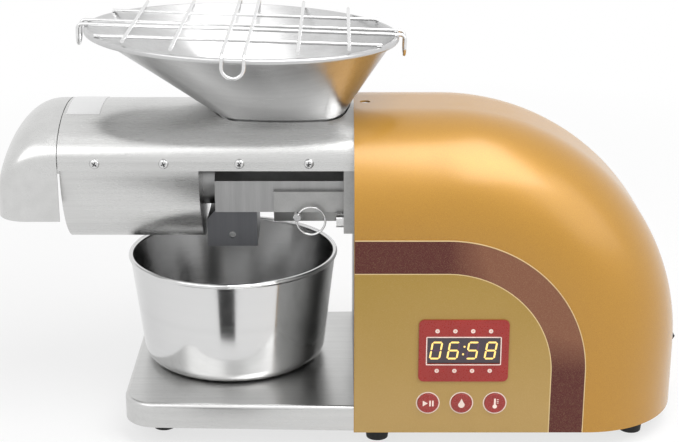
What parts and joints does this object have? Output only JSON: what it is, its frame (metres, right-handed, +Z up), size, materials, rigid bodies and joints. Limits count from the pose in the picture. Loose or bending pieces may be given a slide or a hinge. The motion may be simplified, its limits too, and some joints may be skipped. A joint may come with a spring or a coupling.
{
  "type": "screw oil press",
  "caption": "Tabletop screw oil press: funnel hopper with wire guard over a heated screw chamber, domed motor housing, bowl stand and collecting bowl.",
  "frame": {"origin": "on the standing surface, under the middle of the press", "axes": "+X from the discharge nose to the motor housing, +Z up, -Y towards the user at the controls"},
  "size_m": [0.416, 0.1756, 0.247],
  "materials": {
    "stainless": "satin brushed stainless sheet",
    "bowl_steel": "polished stainless, drawn",
    "machined_steel": "turned and milled steel",
    "gear_steel": "hobbed steel, oiled",
    "gold_paint": "satin gold lacquer",
    "zinc_plate": "bare plated sheet",
    "panel_print": "printed film, satin, tan with a brown band",
    "display_frame": "glossy red frame",
    "display_window": "dark tinted window",
    "lamp_lens": "tinted lamp lens",
    "button_red": "glossy red moulding",
    "black_plastic": "black moulding",
    "foot_rubber": "matt black rubber",
    "chute_steel": "dull bent sheet",
    "heater_mica": "heat-stained band",
    "brass": "bare brass",
    "board": "green board",
    "gearcase": "die-cast, as cast",
    "bearing_steel": "ground steel",
    "motor_paint": "black can",
    "magnet": "ferrite",
    "rotor_iron": "laminations and copper",
    "fan_plastic": "white nylon"
  },
  "bodies": {
    "press_frame": {"board_pillars": "brass", "bowl_stand": "stainless", "cake_nozzle": "machined_steel", "chamber_saddle": "machined_steel", "control_board": "board", "display_bezel": "display_frame", "display_module": "display_window", "foot_screws": "machined_steel", "front_plate": "machined_steel", "front_plate_bolts": "machined_steel", "gear_case": "gearcase", "gear_case_cover": "gearcase", "heater_band": "heater_mica", "heater_clamp_screw": "machined_steel", "hood": "stainless", "hood_rails": "machined_steel", "hood_screws": "machined_steel", "housing_base_plate": "zinc_plate", "housing_bulkhead": "gold_paint", "housing_feet": "foot_rubber", "housing_screws": "machined_steel", "housing_shell": "gold_paint", "indicator_lamps": "lamp_lens", "inlet_blades": "brass", "motor_can": "motor_paint", "motor_end_caps": "gearcase", "motor_magnets": "magnet", "oil_chute": "chute_steel", "panel_film": "panel_print", "power_board": "board", "power_inlet": "black_plastic", "power_switch_frame": "black_plastic", "pressing_chamber": "machined_steel", "shaft_bearings": "bearing_steel", "shroud": "stainless", "stand_feet": "foot_rubber", "temperature_probe": "brass", "thrust_bearing": "bearing_steel"},
    "motor_rotor": {"motor_shaft": "bearing_steel", "motor_rotor": "rotor_iron", "motor_pinion": "gear_steel", "cooling_fan": "fan_plastic"},
    "first_layshaft": {"first_layshaft": "gear_steel", "first_gear": "gear_steel"},
    "second_layshaft": {"second_layshaft": "gear_steel", "second_gear": "gear_steel"},
    "press_screw": {"press_screw": "machined_steel", "output_shaft": "gear_steel", "output_gear": "gear_steel"},
    "hopper": {"hopper": "stainless"},
    "wire_guard": {"wire_guard": "machined_steel"},
    "bowl": {"bowl": "bowl_steel"},
    "nose_cap": {"nose_cap": "stainless"},
    "locking_pin": {"locking_pin": "machined_steel"},
    "pin_ring": {"pin_ring": "machined_steel"},
    "start_button": {"start_button": "button_red"},
    "oil_button": {"oil_button": "button_red"},
    "temperature_button": {"temperature_button": "button_red"},
    "power_rocker": {"power_rocker": "black_plastic"}
  },
  "joints": [
    {"name": "motor_spin", "type": "hinge", "parent": "press_frame", "child": "motor_rotor", "pos_m": [0.09, -0.016, 0.05029], "axis": [1, 0, 0], "continuous": true},
    {"name": "first_layshaft_spin", "type": "hinge", "parent": "press_frame", "child": "first_layshaft", "pos_m": [0.04, 0.009, 0.07619], "axis": [1, 0, 0], "continuous": true},
    {"name": "second_layshaft_spin", "type": "hinge", "parent": "press_frame", "child": "second_layshaft", "pos_m": [0.03, -0.007, 0.11011], "axis": [1, 0, 0], "continuous": true},
    {"name": "screw_spin", "type": "hinge", "parent": "press_frame", "child": "press_screw", "pos_m": [-0.02, 0, 0.15], "axis": [1, 0, 0], "continuous": true},
    {"name": "hopper_lift", "type": "slide", "parent": "press_frame", "child": "hopper", "axis": [0, 0, 1], "range_m": [0, 0.09]},
    {"name": "guard_lift", "type": "slide", "parent": "hopper", "child": "wire_guard", "axis": [0.0349, 0, 0.9994], "range_m": [0, 0.05]},
    {"name": "bowl_pull", "type": "slide", "parent": "press_frame", "child": "bowl", "axis": [0, -1, 0], "range_m": [0, 0.16]},
    {"name": "nose_cap_pull", "type": "slide", "parent": "press_frame", "child": "nose_cap", "axis": [-1, 0, 0], "range_m": [0, 0.04]},
    {"name": "locking_pin_pull", "type": "slide", "parent": "press_frame", "child": "locking_pin", "axis": [0, -1, 0], "range_m": [0, 0.062]},
    {"name": "pin_ring_swing", "type": "hinge", "parent": "locking_pin", "child": "pin_ring", "pos_m": [-0.0298, -0.0334, 0.1335], "axis": [-0.309, 0, -0.9511], "range_deg": [0, 120]},
    {"name": "start_button_press", "type": "slide", "parent": "press_frame", "child": "start_button", "axis": [0, 1, 0], "range_m": [0, 0.0006], "stiffness_N_per_m": 800, "springref_m": -0.0006},
    {"name": "oil_button_press", "type": "slide", "parent": "press_frame", "child": "oil_button", "axis": [0, 1, 0], "range_m": [0, 0.0006], "stiffness_N_per_m": 800, "springref_m": -0.0006},
    {"name": "temperature_button_press", "type": "slide", "parent": "press_frame", "child": "temperature_button", "axis": [0, 1, 0], "range_m": [0, 0.0006], "stiffness_N_per_m": 800, "springref_m": -0.0006},
    {"name": "power_rocker_tip", "type": "hinge", "parent": "press_frame", "child": "power_rocker", "pos_m": [0.19931, 0, 0.036], "axis": [0, -1, 0], "range_deg": [0, 16]}
  ],
  "couplings": [
    {"joint": "first_layshaft_spin", "follows": "motor_spin", "ratio": -0.2},
    {"joint": "second_layshaft_spin", "follows": "motor_spin", "ratio": 0.05},
    {"joint": "screw_spin", "follows": "motor_spin", "ratio": -0.014286}
  ]
}
